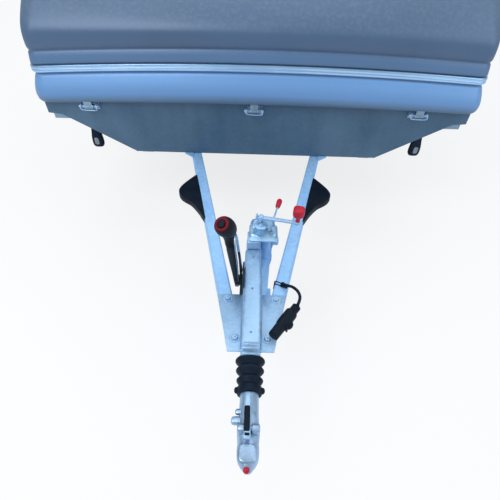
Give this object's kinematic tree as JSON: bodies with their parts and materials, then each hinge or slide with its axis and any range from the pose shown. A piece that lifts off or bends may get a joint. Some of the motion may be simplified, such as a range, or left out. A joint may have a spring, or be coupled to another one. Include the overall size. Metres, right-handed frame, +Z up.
{
  "type": "covered tandem-axle car hauler trailer with front-hinged hood",
  "caption": "Covered car hauler trailer with galvanised V drawbar, overrun coupling, jockey wheel, tandem axles and a moulded hood hinged at the front.",
  "frame": {"origin": "middle of the whole trailer in plan, on the floor", "axes": "-Y towards the coupling, +Y towards the tail, +X to the right of someone facing the tail, +Z up"},
  "size_m": [2.236, 6.095, 2.172],
  "materials": {
    "galvanised": "hot-dip galvanised, satin",
    "cast_grey": "zinc plated casting",
    "black_paint": "powder coated",
    "black_rubber": "matt",
    "tyre_rubber": "matt",
    "black_plastic": "moulded",
    "red_plastic": "moulded",
    "hood_paint": "silver gel coat",
    "bright_trim": "bright",
    "deck_metal": "ribbed sheet",
    "clear_lens": "clear",
    "red_lens": "lamp lens",
    "white_plate": "blank",
    "rod_chrome": "polished"
  },
  "bodies": {
    "chassis": {"drawbar_arms": "galvanised", "overrun_housing": "cast_grey", "overrun_cover": "galvanised", "brake_bracket": "galvanised", "jockey_outer_tube": "galvanised", "jockey_head": "cast_grey", "clamp_lever_grip": "red_plastic", "chassis_rails": "galvanised", "cross_members": "galvanised", "bed_frame": "galvanised", "deck": "deck_metal", "front_skirt": "galvanised", "axle_tubes": "galvanised", "trailing_arms": "black_paint", "mudguards": "black_plastic", "underfloor_brackets": "galvanised", "wheel_chocks": "black_plastic", "position_lamps": "black_rubber", "position_lenses": "clear_lens", "tail_bar": "black_paint", "tail_lamps": "red_lens", "number_plate": "white_plate", "hinge_brackets": "galvanised", "lead_gland": "black_plastic", "lead": "black_rubber", "plug": "black_plastic", "bellows": "black_rubber"},
    "coupling": {"draw_tube": "galvanised", "coupling_head": "cast_grey", "coupling_button": "red_plastic"},
    "coupling_lever": {"coupling_handle": "black_paint"},
    "handbrake": {"brake_lever": "black_paint", "brake_grip": "black_plastic", "brake_button": "red_plastic"},
    "jockey_leg": {"jockey_inner_tube": "galvanised"},
    "jockey_swivel": {"jockey_fork": "galvanised"},
    "jockey_roller": {"jockey_wheel": "black_rubber"},
    "crank": {"jockey_crank": "galvanised", "crank_knob": "red_plastic"},
    "hood": {"hood_shell": "hood_paint", "hood_skirt": "hood_paint", "hood_band": "bright_trim", "hood_fittings": "galvanised"},
    "wheel_front_left": {"tyre_front_left": "tyre_rubber", "rim_front_left": "galvanised"},
    "wheel_front_right": {"tyre_front_right": "tyre_rubber", "rim_front_right": "galvanised"},
    "wheel_rear_left": {"tyre_rear_left": "tyre_rubber", "rim_rear_left": "galvanised"},
    "wheel_rear_right": {"tyre_rear_right": "tyre_rubber", "rim_rear_right": "galvanised"},
    "strut_cylinder_left": {"strut_tube_left": "black_paint"},
    "strut_piston_left": {"strut_rod_left": "rod_chrome"},
    "stand_left": {"prop_stand_left": "galvanised"},
    "loading_ramp_left": {"ramp_left": "deck_metal"},
    "strut_cylinder_right": {"strut_tube_right": "black_paint"},
    "strut_piston_right": {"strut_rod_right": "rod_chrome"},
    "stand_right": {"prop_stand_right": "galvanised"},
    "loading_ramp_right": {"ramp_right": "deck_metal"}
  },
  "joints": [
    {"name": "overrun_slide", "type": "slide", "parent": "chassis", "child": "coupling", "axis": [0, 1, 0], "range_m": [0, 0.07], "stiffness_N_per_m": 6000, "deforming": ["bellows"]},
    {"name": "coupling_lever_pivot", "type": "hinge", "parent": "coupling", "child": "coupling_lever", "pos_m": [0, -2.9595, 0.498], "axis": [1, 0, 0], "range_deg": [0, 55]},
    {"name": "handbrake_pivot", "type": "hinge", "parent": "chassis", "child": "handbrake", "pos_m": [-0.047, -2.4475, 0.545], "axis": [1, 0, 0], "range_deg": [-25, 70]},
    {"name": "jockey_height", "type": "slide", "parent": "chassis", "child": "jockey_leg", "axis": [0, 0, 1], "range_m": [0, 0.17]},
    {"name": "jockey_swivel_turn", "type": "hinge", "parent": "jockey_leg", "child": "jockey_swivel", "pos_m": [0.052, -2.2415, 0.2], "axis": [0, 0, 1], "continuous": true},
    {"name": "jockey_roll", "type": "hinge", "parent": "jockey_swivel", "child": "jockey_roller", "pos_m": [0.052, -2.1955, 0.1], "axis": [1, 0, 0], "continuous": true},
    {"name": "crank_turn", "type": "hinge", "parent": "chassis", "child": "crank", "pos_m": [0.026, -2.2415, 0.676], "axis": [0, 0, 1], "continuous": true},
    {"name": "hood_hinge", "type": "hinge", "parent": "chassis", "child": "hood", "pos_m": [0, -1.5245, 0.762], "axis": [1, 0, 0], "range_deg": [0, 38]},
    {"name": "front_left_wheel_spin", "type": "hinge", "parent": "chassis", "child": "wheel_front_left", "pos_m": [-0.87, 0.7125, 0.29], "axis": [1, 0, 0], "continuous": true},
    {"name": "front_right_wheel_spin", "type": "hinge", "parent": "chassis", "child": "wheel_front_right", "pos_m": [0.87, 0.7125, 0.29], "axis": [1, 0, 0], "continuous": true},
    {"name": "rear_left_wheel_spin", "type": "hinge", "parent": "chassis", "child": "wheel_rear_left", "pos_m": [-0.87, 1.4125, 0.29], "axis": [1, 0, 0], "continuous": true},
    {"name": "rear_right_wheel_spin", "type": "hinge", "parent": "chassis", "child": "wheel_rear_right", "pos_m": [0.87, 1.4125, 0.29], "axis": [1, 0, 0], "continuous": true},
    {"name": "strut_tilt_left", "type": "hinge", "parent": "chassis", "child": "strut_cylinder_left", "pos_m": [-1.012, -1.2975, 0.838], "axis": [1, 0, 0], "range_deg": [0, 51.2]},
    {"name": "strut_stroke_left", "type": "slide", "parent": "strut_cylinder_left", "child": "strut_piston_left", "axis": [0, 0.9429, 0.3331], "range_m": [0, 0.0651]},
    {"name": "stand_swing_left", "type": "hinge", "parent": "chassis", "child": "stand_left", "pos_m": [-0.7, 2.8525, 0.63], "axis": [1, 0, 0], "range_deg": [0, 90]},
    {"name": "ramp_slide_left", "type": "slide", "parent": "chassis", "child": "loading_ramp_left", "axis": [0, 1, 0], "range_m": [0, 1.75]},
    {"name": "strut_tilt_right", "type": "hinge", "parent": "chassis", "child": "strut_cylinder_right", "pos_m": [1.012, -1.2975, 0.838], "axis": [1, 0, 0], "range_deg": [0, 51.2]},
    {"name": "strut_stroke_right", "type": "slide", "parent": "strut_cylinder_right", "child": "strut_piston_right", "axis": [0, 0.9429, 0.3331], "range_m": [0, 0.0651]},
    {"name": "stand_swing_right", "type": "hinge", "parent": "chassis", "child": "stand_right", "pos_m": [0.7, 2.8525, 0.63], "axis": [1, 0, 0], "range_deg": [0, 90]},
    {"name": "ramp_slide_right", "type": "slide", "parent": "chassis", "child": "loading_ramp_right", "axis": [0, 1, 0], "range_m": [0, 1.75]}
  ],
  "couplings": [
    {"joint": "strut_tilt_left", "follows": "hood_hinge", "ratio": 1.342},
    {"joint": "strut_stroke_left", "follows": "hood_hinge", "m_per_rad": 0.0972},
    {"joint": "strut_tilt_right", "follows": "hood_hinge", "ratio": 1.342},
    {"joint": "strut_stroke_right", "follows": "hood_hinge", "m_per_rad": 0.0972}
  ]
}
